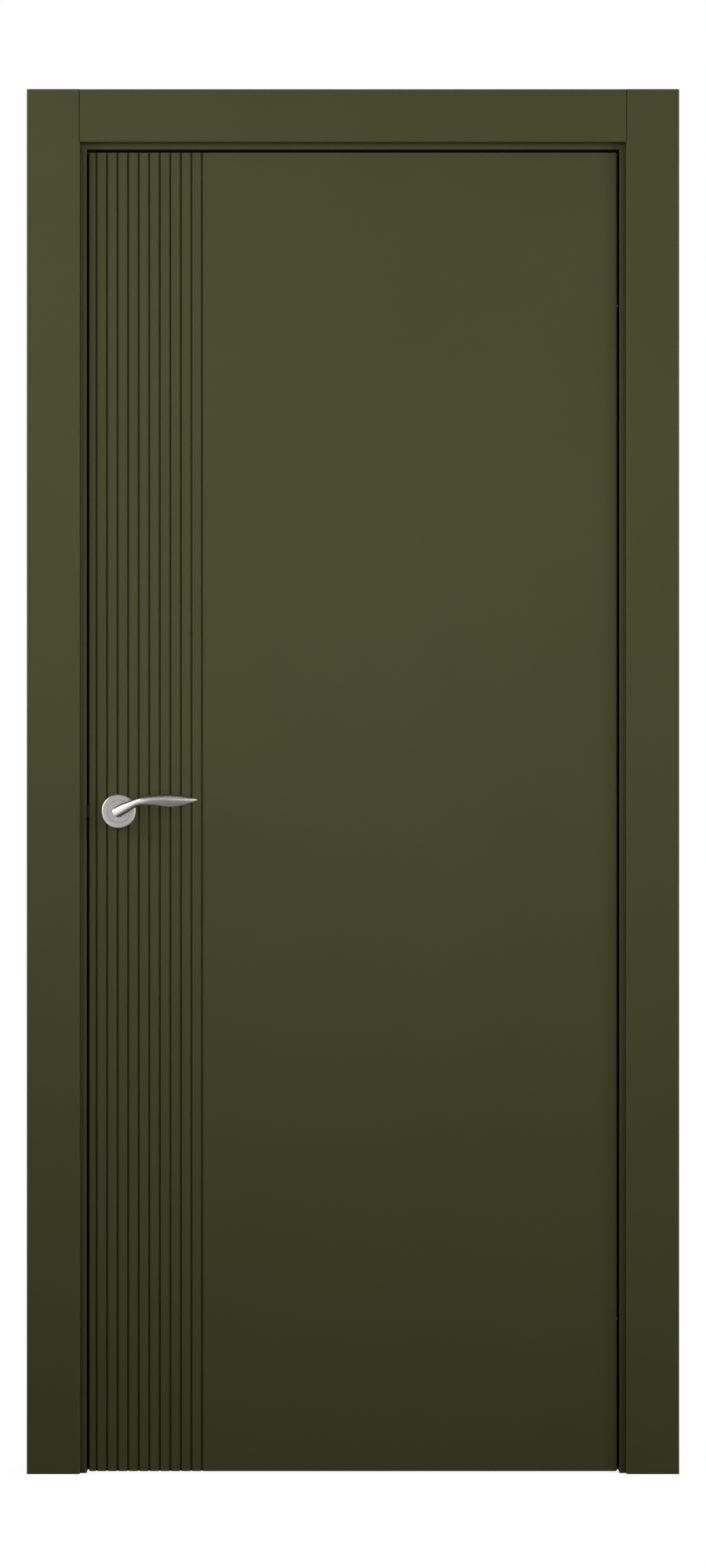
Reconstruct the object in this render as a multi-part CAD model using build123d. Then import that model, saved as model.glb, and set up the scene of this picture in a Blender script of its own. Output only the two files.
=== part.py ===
# Interior door set in millimetres: leaf, rebated frame, architraves, concealed hinges and lever latch.
# X runs right along the wall, Y runs back through it, Z runs up from the floor.
# The origin is on the floor at the middle of the opening, in the mid plane of the leaf.
import os
from math import atan2, cos, degrees, hypot, radians, sin, tan

from build123d import *

# Leaf
leaf_width = 800.0
leaf_height = 2000.0
leaf_thickness = 40.0
facing_thickness = 8.0
stile_width = 38.0
rail_height = 60.0
leaf_arris = 1.0
groove_count = 11
groove_pitch = 16.0
groove_first = 11.0
groove_width = 3.2
groove_depth = 5.0
groove_arris = 0.6
lock_block_width = 62.0
lock_block_height = 300.0

# Frame
floor_gap = 3.0
side_gap = 4.0
top_gap = 5.0
jamb_thickness = 36.0
jamb_depth = 75.0
jamb_arris = 1.5
stop_height = 9.5
seal_space = 3.5
reveal = 10.0

# Seal in the stop
kerf_offset = 6.0
kerf_width = 2.6
kerf_depth = 6.0
seal_stem_width = 1.6
seal_bulb_width = 5.0
seal_wall = 0.7
seal_clearance = 0.3

# Architraves with a tongue that slides into the frame
architrave_width = 80.0
architrave_thickness = 12.0
architrave_arris = 2.0
tongue_offset = 16.0
tongue_thickness = 4.0
tongue_length = 18.0
tongue_clearance = 0.5
architrave_joint = 0.3

# Wood screws
screw_radius = 2.0
screw_head_radius = 3.8
screw_head_height = 2.4
screw_clearance = 0.15
corner_screw_length = 70.0
corner_screw_inset = 13.0
corner_screw_depths = (10.0, 28.0)
hinge_screw_length = 20.0
plate_screw_length = 18.0

# Concealed hinges, each with two crossed arms
hinge_inset = 230.0
swing_axis_stand_off = 1.0
pivot_spread = 5.4
pivot_y = -8.0
slide_reach = 15.0
slide_rise = 6.0
swing_degrees = 90.0
pin_radius = 2.0
pin_clearance = 0.06
slot_clearance = 0.2
slot_overrun_degrees = 3.0
arm_half_width = 3.0
arm_eye_radius = 4.0
arm_end_radius = 3.2
arm_height = 16.0
arm_float = 0.5
lug_half_height = 1.5
lug_reach = 8.5
housing_depth = 19.0
housing_wall = 1.5
housing_web = 3.5
cavity_front = -13.5
cavity_back = 14.5
flange_thickness = 3.0
flange_height = 104.0
flange_corner = 6.0
housing_fit = 0.2
hinge_screw_rise = 38.0

# Latch
handle_height = 1004.0
backset = 45.0
lever_degrees = 45.0
forend_thickness = 3.0
forend_width = 20.0
forend_height = 90.0
forend_screw_rise = 36.0
case_length = 62.0
case_thickness = 16.0
case_height = 33.0
case_wall = 1.2
case_fit = 0.2
hub_radius = 7.0
hub_clearance = 0.1
finger_radius = 13.0
finger_half_width = 2.0
finger_thickness = 4.0
finger_free_play = 0.7
bolt_width = 12.0
bolt_height = 16.0
bolt_length = 21.0
bolt_clearance = 0.2
bolt_nose = 2.0
tail_thickness = 5.0
tail_bottom = 8.6
tail_top = 14.9
tail_end = 6.0
spring_radius = 3.4
spring_wire_radius = 0.5
spring_turns = 7
spring_seat = 0.1
spring_peg_length = 4.0
spring_peg_clearance = 0.4
spring_stop_thickness = 1.2
spring_stop_half_height = 5.5
spring_stop_gap = 0.8
spindle_size = 8.0
spindle_clearance = 0.1

# Strike in the lock jamb
strike_width = 30.0
strike_height = 70.0
strike_thickness = 2.0
strike_corner = 4.0
strike_hole_width = 15.0
strike_hole_height = 20.0
strike_screw_rise = 26.0
strike_box_depth = 14.0
strike_box_wall = 1.5

# Roses
rose_radius = 26.0
rose_height = 9.0
rose_wall = 1.4
rose_rim = 2.4
rose_ring_radius = 17.2
rose_ring_width = 0.9
rose_ring_depth = 0.5
rose_base_gap = 0.4
rose_bolt_rise = 20.0
rose_bolt_radius = 2.0
rose_bolt_head_radius = 3.4
rose_bolt_head_height = 2.2
rose_bolt_seat = 5.0
bush_radius = 10.0
bush_height = 6.0
facing_bore_radius = 11.0

# Lever
shank_radius = 8.2
shank_clearance = 0.4
journal_radius = 7.5
journal_start = 2.0
collar_gap = 0.4
neck_bend = 24.0
socket_depth = 14.0
grub_radius = 2.5
grub_recess = 0.4
grub_edge = 0.3
ridge_degrees = 24.0
lever_stations = (
    # along the leaf, out from its face, up, half height, half depth, share of the ridge form
    (9.0, 29.4, 4.4, 8.0, 7.6, 0.1),
    (13.0, 31.8, 6.4, 7.5, 7.2, 0.2),
    (21.0, 36.6, 10.2, 6.4, 6.6, 0.5),
    (32.0, 42.0, 14.4, 6.0, 6.2, 0.85),
    (43.0, 44.7, 16.1, 7.2, 6.2, 1.0),
    (58.0, 45.4, 16.8, 8.6, 6.3, 1.0),
    (80.0, 44.6, 16.2, 10.0, 6.2, 1.0),
    (99.0, 43.4, 16.3, 7.6, 5.2, 1.0),
    (111.0, 42.4, 16.9, 4.4, 3.6, 1.0),
    (119.4, 41.6, 17.4, 1.0, 1.0, 1.0),
)
lever_ridge_height = 0.42
lever_front_bulge = 0.10
lever_back_depth = 0.72

# Places that follow from the sizes above
half_leaf = leaf_width / 2
front_y = -leaf_thickness / 2
back_y = leaf_thickness / 2
leaf_top = floor_gap + leaf_height
core_thickness = leaf_thickness - 2 * facing_thickness
core_y = core_thickness / 2
rebate_x = half_leaf + side_gap
head_z = leaf_top + top_gap
frame_back_y = front_y + jamb_depth
stop_y = back_y + seal_space
back_inner_x = rebate_x - stop_height + reveal
front_inner_x = rebate_x + reveal
hinge_x = half_leaf + side_gap / 2
hinge_heights = {"upper": leaf_top - hinge_inset, "lower": floor_gap + hinge_inset}
swing_axis_y = front_y - swing_axis_stand_off
cross_y = 2 * pivot_y - swing_axis_y
arm_low = lug_half_height + arm_float
arm_top = arm_low + arm_height
cavity_half_height = arm_top + arm_float
housing_half_height = cavity_half_height + housing_web
spindle_x = -half_leaf + backset
latch_throw = finger_radius * sin(radians(lever_degrees))
collar_start = rose_height + collar_gap
grub_out = collar_start + grub_radius + grub_edge
case_front = -half_leaf + forend_thickness
case_end = case_front + case_length
bolt_inner = case_front + bolt_length - latch_throw
spring_stop = spindle_x - hub_radius - spring_stop_gap - spring_stop_thickness


def block(x0, x1, y0, y1, z0, z1):
    box = Box(x1 - x0, y1 - y0, z1 - z0)
    return Pos((x0 + x1) / 2, (y0 + y1) / 2, (z0 + z1) / 2) * box


def area(x0, x1, y0, y1):
    return Pos((x0 + x1) / 2, (y0 + y1) / 2) * Rectangle(x1 - x0, y1 - y0)


def rod_along_x(radius, x0, x1, y, z):
    return Pos((x0 + x1) / 2, y, z) * Rot(0, 90, 0) * Cylinder(radius, x1 - x0)


def rod_along_y(radius, x, y0, y1, z):
    return Pos(x, (y0 + y1) / 2, z) * Rot(90, 0, 0) * Cylinder(radius, y1 - y0)


def rod_along_z(radius, x, y, z0, z1):
    return Pos(x, y, (z0 + z1) / 2) * Cylinder(radius, z1 - z0)


def round_corners(sketch, radius, *corners):
    chosen = []
    for x, y in corners:
        chosen.append(sketch.vertices().sort_by_distance((x, y, 0))[0])
    return fillet(chosen, radius)


def mirrored_left(shape):
    return mirror(shape, about=Plane.YZ)


def mirrored_back(shape):
    return mirror(shape, about=Plane.XZ)


def save(name, *solids):
    shape = solids[0] if len(solids) == 1 else Compound(children=list(solids))
    export_step(shape, f"parts/{name}.step")


# A countersunk screw lies along X with its head face at the origin and its point towards +X.
def screw(length, extra=0.0):
    shank = rod_along_x(screw_radius + extra, 0, length + extra, 0, 0)
    cone = Cone(screw_head_radius + extra, screw_radius + extra, screw_head_height)
    return shank + Pos(screw_head_height / 2, 0, 0) * Rot(0, 90, 0) * cone


def jamb_section():
    section = area(0, jamb_thickness, front_y, frame_back_y)
    section += area(-stop_height, 0, stop_y, frame_back_y)
    corners = ((0, front_y), (-stop_height, stop_y), (-stop_height, frame_back_y))
    section = round_corners(section, jamb_arris, *corners)
    slot_depth = tongue_length + 2 * tongue_clearance
    for inner_x, y0, y1 in (
        (front_inner_x, front_y, front_y + slot_depth),
        (back_inner_x, frame_back_y - slot_depth, frame_back_y),
    ):
        start = inner_x - rebate_x + tongue_offset - tongue_clearance
        section -= area(start, start + tongue_thickness + 2 * tongue_clearance, y0, y1)
    kerf = area(-kerf_offset - kerf_width / 2, -kerf_offset + kerf_width / 2, stop_y, stop_y + kerf_depth)
    return section - kerf


def seal_section():
    bulb_height = seal_space - seal_clearance
    middle = back_y + seal_clearance + bulb_height / 2
    bulb = Pos(-kerf_offset, middle) * SlotOverall(seal_bulb_width, bulb_height)
    hollow = Pos(-kerf_offset, middle) * SlotOverall(seal_bulb_width - 2 * seal_wall, bulb_height - 2 * seal_wall)
    stem_half = seal_stem_width / 2
    stem_end = stop_y + kerf_depth - seal_clearance
    stem = area(-kerf_offset - stem_half, -kerf_offset + stem_half, stop_y - seal_wall, stem_end)
    barb_half = kerf_width / 2 - seal_clearance / 2
    barb = area(-kerf_offset - barb_half, -kerf_offset + barb_half, stem_end - 2 * seal_wall, stem_end - seal_wall)
    return bulb + stem + barb - hollow


# Uprights and heads of the frame meet at 45 degrees above the corner of the opening.
def mitre(side):
    return Plane(origin=(side * rebate_x, 0, head_z), z_dir=(side, 0, -1))


def upright(section):
    bar = Pos(rebate_x, 0, 0) * extrude(section, head_z + jamb_thickness)
    return split(bar, bisect_by=mitre(1), keep=Keep.TOP)


def crosspiece(section):
    half_span = rebate_x + jamb_thickness
    bar = Pos(half_span, 0, head_z) * Rot(0, -90, 0) * extrude(section, 2 * half_span)
    for side in (1, -1):
        bar = split(bar, bisect_by=mitre(side), keep=Keep.BOTTOM)
    return bar


def architrave_section():
    board = area(0, architrave_width, 0, architrave_thickness)
    corners = ((0, architrave_thickness), (architrave_width, architrave_thickness))
    board = round_corners(board, architrave_arris, *corners)
    return board + area(tongue_offset, tongue_offset + tongue_thickness, -tongue_length, 0)


# Each leg runs past the head, and its tongue stops short of the mitre of the frame.
def architrave_leg(inner_x):
    top = inner_x - rebate_x + head_z + architrave_width
    tongue_top = inner_x - rebate_x + head_z + tongue_offset - tongue_clearance
    leg = extrude(architrave_section(), top)
    leg -= block(0, architrave_width, -tongue_length, 0, tongue_top, top)
    return Pos(inner_x, 0, 0) * leg


def architrave_head(inner_x):
    half_span = inner_x - architrave_joint
    bar = extrude(architrave_section(), 2 * half_span)
    return Pos(half_span, 0, inner_x - rebate_x + head_z) * Rot(0, -90, 0) * bar


def at_front(shape):
    return Pos(0, front_y, 0) * mirrored_back(shape)


def at_back(shape):
    return Pos(0, frame_back_y, 0) * shape


# Hinge places are measured from the middle of the gap beside the leaf, on the jamb side.
pivot_point = (pivot_spread, pivot_y)
cross_point = (0.0, cross_y)
slide_point = (slide_reach, cross_y + slide_rise)
arm_radius = hypot(pivot_spread, cross_y - pivot_y)
arm_start_degrees = degrees(atan2(cross_y - pivot_y, -pivot_spread))


def bar_between(start, end, half_width):
    length = hypot(end[0] - start[0], end[1] - start[1])
    turn = degrees(atan2(end[1] - start[1], end[0] - start[0]))
    middle = ((start[0] + end[0]) / 2, (start[1] + end[1]) / 2)
    return Pos(*middle) * Rot(0, 0, turn) * Rectangle(length, 2 * half_width)


# The arm turns on the jamb pivot, crosses its twin in the gap and slides in the leaf housing.
def hinge_arm(cross_hole):
    far_point = (-slide_point[0], slide_point[1])
    outline = Pos(*pivot_point) * Circle(arm_eye_radius)
    outline += Pos(*cross_point) * Circle(arm_eye_radius)
    outline += Pos(*far_point) * Circle(arm_end_radius)
    outline += bar_between(pivot_point, cross_point, arm_half_width)
    outline += bar_between(cross_point, far_point, arm_half_width)
    outline -= Pos(*pivot_point) * Circle(pin_radius + pin_clearance)
    outline -= Pos(*cross_point) * Circle(cross_hole)
    outline -= Pos(*far_point) * Circle(pin_radius)
    return Pos(0, 0, arm_low) * extrude(outline, arm_height)


def slide_slot():
    centre = (pivot_point[0] + slide_reach, pivot_point[1] + slide_rise)
    start = arm_start_degrees - slot_overrun_degrees
    path = CenterArc(centre, arm_radius, start, swing_degrees + 2 * slot_overrun_degrees)
    return SlotArc(path, 2 * (pin_radius + slot_clearance))


def flange_outline(grow=0.0):
    depth = cavity_back - cavity_front + 2 * housing_wall + 2 * grow
    plate = RectangleRounded(depth, flange_height + 2 * grow, flange_corner + grow)
    return Pos((cavity_front + cavity_back) / 2, 0) * plate


def flange_plate(thickness, grow=0.0):
    plane = Plane(origin=(side_gap / 2, 0, 0), x_dir=(0, 1, 0), z_dir=(1, 0, 0))
    return extrude(plane * flange_outline(grow), thickness)


def hinge_screws(extra=0.0):
    middle = (cavity_front + cavity_back) / 2
    rises = (-hinge_screw_rise, hinge_screw_rise)
    return [Pos(side_gap / 2, middle, rise) * screw(hinge_screw_length, extra) for rise in rises]


# The housing holds one arm on a pin between its upper web and a lug, and guides the other below it.
def hinge_housing():
    face = side_gap / 2
    y0 = cavity_front - housing_wall
    y1 = cavity_back + housing_wall
    body = block(face, face + housing_depth, y0, y1, -housing_half_height, housing_half_height)
    cavity_end = face + housing_depth - housing_wall
    half = cavity_half_height
    body -= block(face, cavity_end, cavity_front, cavity_back, -half, half)
    body += flange_plate(flange_thickness) - block(face, cavity_end, cavity_front, cavity_back, -half, half)
    lug_end = pivot_point[0] + arm_eye_radius
    lug_top = cavity_front + lug_reach
    body += block(face + pin_clearance, lug_end, cavity_front, lug_top, -lug_half_height, lug_half_height)
    body -= rod_along_z(pin_radius, *pivot_point, -lug_half_height, housing_half_height)
    body -= Pos(0, 0, -housing_half_height) * extrude(slide_slot(), housing_web)
    for cutter in hinge_screws(screw_clearance):
        body -= cutter
    return body


def hinge_pocket():
    y0 = cavity_front - housing_wall - housing_fit
    y1 = cavity_back + housing_wall + housing_fit
    half = housing_half_height + housing_fit
    face = side_gap / 2
    pocket = block(face, face + housing_depth + housing_fit, y0, y1, -half, half)
    pocket += flange_plate(flange_thickness, housing_fit)
    for cutter in hinge_screws(screw_clearance):
        pocket += cutter
    return pocket


def hinge_pivot_pin():
    return rod_along_z(pin_radius, *pivot_point, -lug_half_height, housing_half_height)


def hinge_slide_pin():
    reach = housing_half_height - arm_float
    return rod_along_z(pin_radius, -slide_point[0], slide_point[1], arm_low, reach)


def hinge_cross_pin():
    return rod_along_z(pin_radius, *cross_point, -arm_top, arm_top)


def on_jamb(shape, height):
    return Pos(hinge_x, 0, height) * shape


# The leaf side of a hinge is the jamb side turned half a turn about the line through the gap.
def on_leaf(shape, height):
    return Pos(hinge_x, 0, height) * Rot(0, 180, 0) * shape


def groove_cutter(face_y):
    floor_y = face_y + groove_depth - groove_width / 2
    shape = area(-groove_width / 2, groove_width / 2, face_y, floor_y)
    return shape + Pos(0, floor_y) * Circle(groove_width / 2)


def front_facing():
    section = area(-half_leaf, half_leaf, front_y, front_y + facing_thickness)
    section = round_corners(section, leaf_arris, (-half_leaf, front_y), (half_leaf, front_y))
    edges = []
    for index in range(groove_count):
        middle = -half_leaf + groove_first + index * groove_pitch
        section -= Pos(middle, 0) * groove_cutter(front_y)
        edges += [(middle - groove_width / 2, front_y), (middle + groove_width / 2, front_y)]
    section = round_corners(section, groove_arris, *edges)
    return Pos(0, 0, floor_gap) * extrude(section, leaf_height)


def leaf_bar(x0, x1, z0, z1):
    return block(x0, x1, -core_y, core_y, z0, z1)


def handle_bores():
    bores = rod_along_y(facing_bore_radius, spindle_x, front_y, back_y, handle_height)
    for rise in (-rose_bolt_rise, rose_bolt_rise):
        bores += rod_along_y(rose_bolt_radius + screw_clearance, spindle_x, front_y, back_y, handle_height + rise)
    return bores


def case_pocket():
    half_y = case_thickness / 2 + case_fit
    half_z = case_height / 2 + case_fit
    pocket = block(case_front, case_end + case_fit, -half_y, half_y, handle_height - half_z, handle_height + half_z)
    return pocket + forend_blank(case_fit) + forend_screw_group(screw_clearance)


def forend_blank(grow=0.0):
    plane = Plane(origin=(-half_leaf, 0, handle_height), x_dir=(0, 1, 0), z_dir=(1, 0, 0))
    outline = SlotOverall(forend_height + 2 * grow, forend_width + 2 * grow, rotation=90)
    return extrude(plane * outline, forend_thickness)


def forend_screws(extra=0.0):
    places = (handle_height - forend_screw_rise, handle_height + forend_screw_rise)
    return [Pos(-half_leaf, 0, z) * screw(plate_screw_length, extra) for z in places]


def forend_screw_group(extra):
    first, second = forend_screws(extra)
    return first + second


def bolt_window(x0, x1):
    half_y = bolt_width / 2 + bolt_clearance
    half_z = bolt_height / 2 + bolt_clearance
    return block(x0, x1, -half_y, half_y, handle_height - half_z, handle_height + half_z)


def latch_forend():
    plate = forend_blank() - bolt_window(-half_leaf, case_front)
    return plate - forend_screw_group(screw_clearance)


def hub_bore(y0, y1):
    return rod_along_y(hub_radius + hub_clearance, spindle_x, y0, y1, handle_height)


# A tab bent up inside the case takes the push of the bolt spring.
def latch_case():
    half_y = case_thickness / 2
    half_z = case_height / 2
    lid_y = half_y - case_wall
    body = block(case_front, case_end, -half_y, lid_y, handle_height - half_z, handle_height + half_z)
    inner_z = half_z - case_wall
    body -= block(case_front + case_wall, case_end - case_wall, -lid_y, lid_y, handle_height - inner_z,
                  handle_height + inner_z)
    body -= bolt_window(case_front, case_front + case_wall)
    body += block(spring_stop, spring_stop + spring_stop_thickness, -lid_y, lid_y,
                  handle_height - spring_stop_half_height, handle_height + spring_stop_half_height)
    return body - hub_bore(-half_y, -lid_y)


def latch_case_lid():
    half_y = case_thickness / 2
    half_z = case_height / 2
    lid_y = half_y - case_wall
    plate = block(case_front, case_end, lid_y, half_y, handle_height - half_z, handle_height + half_z)
    return plate - hub_bore(lid_y, half_y)


# The nose slopes on the closing side, and the tail carries the finger of the hub in a notch.
# The notch has more room behind the finger, which leans into it as it turns.
def latch_bolt():
    tip = -half_leaf - latch_throw
    slope = make_face(Polyline((tip, -bolt_width / 2 + bolt_nose), (tip, bolt_width / 2),
                               (-half_leaf, bolt_width / 2), close=True))
    half_z = bolt_height / 2
    head = block(tip, bolt_inner, -bolt_width / 2, bolt_width / 2, handle_height - half_z, handle_height + half_z)
    head -= Pos(0, 0, handle_height - half_z) * extrude(slope, bolt_height)
    right = spindle_x + finger_half_width + finger_free_play
    turn = radians(lever_degrees)
    lean = (tail_bottom - finger_half_width * sin(turn)) * tan(turn) - finger_half_width * cos(turn)
    left = spindle_x + lean - latch_throw - finger_free_play
    half_y = tail_thickness / 2
    low = handle_height + tail_bottom
    high = handle_height + tail_top
    link = block(bolt_inner - tail_end, bolt_inner, -half_y, half_y, handle_height, high)
    tail = block(bolt_inner - tail_end, left, -half_y, half_y, low, high)
    bridge_y = half_y - finger_thickness / 2
    tail += block(left, right + tail_end, finger_thickness / 2 + bolt_clearance, half_y + 2 * bridge_y, low, high)
    tail += block(right, right + tail_end, -half_y, half_y + 2 * bridge_y, low, high)
    tail += block(left - tail_end, left, -half_y, half_y + 2 * bridge_y, low, high)
    peg_radius = spring_radius - spring_wire_radius - spring_peg_clearance
    peg = rod_along_x(peg_radius, bolt_inner, bolt_inner + spring_peg_length, 0, handle_height)
    return head + link + tail + peg


# The coil sits round the peg of the bolt and bears on the tab in the case.
def bolt_spring():
    start = bolt_inner + spring_seat + spring_wire_radius
    height = spring_stop - spring_seat - spring_wire_radius - start
    coil = Helix(height / spring_turns, height, spring_radius)
    wire = Plane(origin=coil @ 0, z_dir=coil % 0) * Circle(spring_wire_radius)
    return Pos(start, 0, handle_height) * Rot(0, 90, 0) * sweep(wire, path=coil, is_frenet=True)


def square_along_y(size, y0, y1):
    half = size / 2
    return block(spindle_x - half, spindle_x + half, y0, y1, handle_height - half, handle_height + half)


def lock_follower():
    half_y = case_thickness / 2
    hub = rod_along_y(hub_radius, spindle_x, -half_y, half_y, handle_height)
    finger = block(spindle_x - finger_half_width, spindle_x + finger_half_width, -finger_thickness / 2,
                   finger_thickness / 2, handle_height, handle_height + finger_radius)
    finger += rod_along_y(finger_half_width, spindle_x, -finger_thickness / 2, finger_thickness / 2,
                          handle_height + finger_radius)
    return hub + finger - square_along_y(spindle_size + 2 * spindle_clearance, -half_y, half_y)


def spindle():
    reach = leaf_thickness / 2 + journal_start + socket_depth - collar_gap
    return square_along_y(spindle_size, -reach, reach)


def strike_outline(grow=0.0):
    plane = Plane(origin=(-rebate_x, 0, handle_height), x_dir=(0, 1, 0), z_dir=(1, 0, 0))
    return plane * RectangleRounded(strike_width + 2 * grow, strike_height + 2 * grow, strike_corner + grow)


def strike_screws(extra=0.0):
    places = (handle_height - strike_screw_rise, handle_height + strike_screw_rise)
    return [Pos(-rebate_x, 0, z) * Rot(0, 180, 0) * screw(plate_screw_length, extra) for z in places]


def strike_opening(depth, grow):
    half_y = strike_hole_width / 2 + grow
    half_z = strike_hole_height / 2 + grow
    return block(-rebate_x - depth, -rebate_x, -half_y, half_y, handle_height - half_z, handle_height + half_z)


def strike_plate():
    plate = extrude(strike_outline(), -strike_thickness)
    plate -= strike_opening(strike_thickness, 0)
    for cutter in strike_screws(screw_clearance):
        plate -= cutter
    return plate


def strike_box():
    outer = strike_opening(strike_thickness + strike_box_depth, strike_box_wall)
    outer -= strike_opening(strike_thickness, strike_box_wall)
    return outer - strike_opening(strike_thickness + strike_box_depth - strike_box_wall, 0)


def strike_pocket():
    pocket = extrude(strike_outline(case_fit), -strike_thickness)
    pocket += strike_opening(strike_thickness + strike_box_depth + case_fit, strike_box_wall + case_fit)
    for cutter in strike_screws(screw_clearance):
        pocket += cutter
    return pocket


# The rim is rounded, and a fine ring is cut round the middle.
def rose_cover():
    inner = shank_radius + shank_clearance
    shell = area(inner, rose_radius, 0, rose_height)
    shell = round_corners(shell, rose_rim, (rose_radius, rose_height))
    shell -= area(inner - rose_wall, rose_radius - rose_wall, 0, rose_height - rose_wall)
    ring_inner = rose_ring_radius - rose_ring_width / 2
    shell -= area(ring_inner, ring_inner + rose_ring_width, rose_height - rose_ring_depth, rose_height)
    cover = revolve(shell, axis=Axis.Y)
    return Pos(spindle_x, front_y, handle_height) * mirrored_back(cover)


def rose_base():
    radius = rose_radius - rose_wall - rose_base_gap
    height = rose_height - rose_wall - rose_base_gap
    y0 = front_y - height
    base = rod_along_y(radius, spindle_x, y0, front_y, handle_height)
    base -= rod_along_y(bush_radius, spindle_x, y0, front_y, handle_height)
    seat = front_y - rose_bolt_seat
    for rise in (-rose_bolt_rise, rose_bolt_rise):
        z = handle_height + rise
        base -= rod_along_y(rose_bolt_radius + screw_clearance, spindle_x, y0, front_y, z)
        base -= rod_along_y(rose_bolt_head_radius + screw_clearance, spindle_x, y0, seat, z)
    return base


def lever_bush():
    bush = rod_along_y(bush_radius, spindle_x, front_y - bush_height, front_y, handle_height)
    return bush - rod_along_y(journal_radius + pin_clearance, spindle_x, front_y - bush_height, front_y, handle_height)


def rose_bolts():
    reach = leaf_thickness / 2 + rose_bolt_seat
    bolts = []
    for rise in (-rose_bolt_rise, rose_bolt_rise):
        z = handle_height + rise
        bolt = rod_along_y(rose_bolt_radius, spindle_x, -reach, reach, z)
        for side in (-1, 1):
            ends = sorted((side * reach, side * (reach + rose_bolt_head_height)))
            bolt += rod_along_y(rose_bolt_head_radius, spindle_x, *ends, z)
        bolts.append(bolt)
    return bolts


# A lever section has a top edge, a ridge along its front and a bottom edge, joined by three arcs.
def lever_section(half_height, half_depth, ridge_share):
    ridge = radians(ridge_degrees)

    def blend(round_point, ridge_form):
        x = round_point[0] + (ridge_form[0] - round_point[0]) * ridge_share
        y = round_point[1] + (ridge_form[1] - round_point[1]) * ridge_share
        return (x * half_depth, y * half_height)

    upper_turn = (radians(90) + ridge) / 2
    lower_turn = (ridge - radians(90)) / 2
    bulge = lever_front_bulge
    rise = lever_ridge_height
    top = (0.0, half_height)
    bottom = (0.0, -half_height)
    front = blend((cos(ridge), sin(ridge)), (1.0, rise))
    above = blend((cos(upper_turn), sin(upper_turn)), (0.5 + bulge, (1 + rise) / 2 + bulge))
    below = blend((cos(lower_turn), sin(lower_turn)), (0.5 + 2 * bulge, (rise - 1) / 2 - 2 * bulge))
    behind = blend((-1.0, 0.0), (-lever_back_depth, 0.0))
    edges = [
        ThreePointArc(top, above, front),
        ThreePointArc(front, below, bottom),
        ThreePointArc(bottom, behind, top),
    ]
    return make_face(edges)


# A section lies across the lever, with its front away from the leaf and its top up.
def lever_plane(place, along, heading):
    turn = atan2(heading.Z, heading.X)
    up = Vector(-sin(turn), 0, cos(turn))
    return Plane(origin=place, x_dir=along.cross(up), z_dir=-along)


# The shank comes straight out of the rose, turns at a mitre and slopes away to the grip.
def lever_grip():
    straight_out = Vector(0, -1, 0)
    bend = Vector(0, -neck_bend, 0)
    points = [Vector(x, -out, z) for x, out, z, _, _, _ in lever_stations]
    slope = (points[0] - bend).normalized()
    path = Spline(bend, *points, tangents=[slope, (1, 0, 0)])
    half_turn = radians(slope.get_angle(straight_out)) / 2
    round_end = lever_section(shank_radius, shank_radius, 0.0)
    foot = lever_plane((0, -collar_start, 0), straight_out, slope) * round_end
    mitre = lever_section(shank_radius, shank_radius / cos(half_turn), 0.0)
    elbow = lever_plane(bend, (straight_out + slope).normalized(), slope) * mitre
    sections = []
    for point, (_, _, _, half_height, half_depth, share) in zip(points, lever_stations):
        along = path.tangent_at(point)
        sections.append(lever_plane(point, along, along) * lever_section(half_height, half_depth, share))
    return loft([foot, elbow, sections[0]], ruled=True) + loft(sections)


def lever():
    journal = rod_along_y(journal_radius, 0, -collar_start, -journal_start, 0)
    body = lever_grip() + journal
    half = spindle_size / 2 + spindle_clearance
    body -= block(-half, half, -journal_start - socket_depth, -journal_start, -half, half)
    body -= grub_hole()
    return Pos(spindle_x, front_y, handle_height) * body


def grub_hole():
    return rod_along_z(grub_radius, 0, -grub_out, -2 * shank_radius, -spindle_size / 2)


def grub_screw():
    grub = rod_along_z(grub_radius, 0, -grub_out, -shank_radius + grub_recess, -spindle_size / 2)
    return Pos(spindle_x, front_y, handle_height) * grub


def corner_screws(extra=0.0):
    start = rebate_x + jamb_thickness
    screws = []
    for y in corner_screw_depths:
        place = Pos(start, y, head_z + corner_screw_inset)
        screws.append(place * Rot(0, 180, 0) * screw(corner_screw_length, extra))
    return screws + [mirrored_left(item) for item in screws]


def make_frame():
    hinge_jamb = upright(jamb_section())
    lock_jamb = mirrored_left(hinge_jamb) - strike_pocket()
    head_jamb = crosspiece(jamb_section())
    for height in hinge_heights.values():
        hinge_jamb -= on_jamb(hinge_pocket(), height)
    for cutter in corner_screws(screw_clearance):
        hinge_jamb -= cutter
        lock_jamb -= cutter
        head_jamb -= cutter
    save("hinge_jamb", hinge_jamb)
    save("lock_jamb", lock_jamb)
    save("head_jamb", head_jamb)
    save("frame_corner_screws", *corner_screws())
    side_seal = upright(seal_section())
    save("hinge_jamb_seal", side_seal)
    save("lock_jamb_seal", mirrored_left(side_seal))
    save("head_jamb_seal", crosspiece(seal_section()))
    for side, inner_x, place in (("front", front_inner_x, at_front), ("back", back_inner_x, at_back)):
        leg = place(architrave_leg(inner_x))
        save(f"{side}_hinge_architrave", leg)
        save(f"{side}_lock_architrave", mirrored_left(leg))
        save(f"{side}_head_architrave", place(architrave_head(inner_x)))
    save("strike_plate", strike_plate())
    save("strike_box", strike_box())
    save("strike_screws", *strike_screws())


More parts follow.
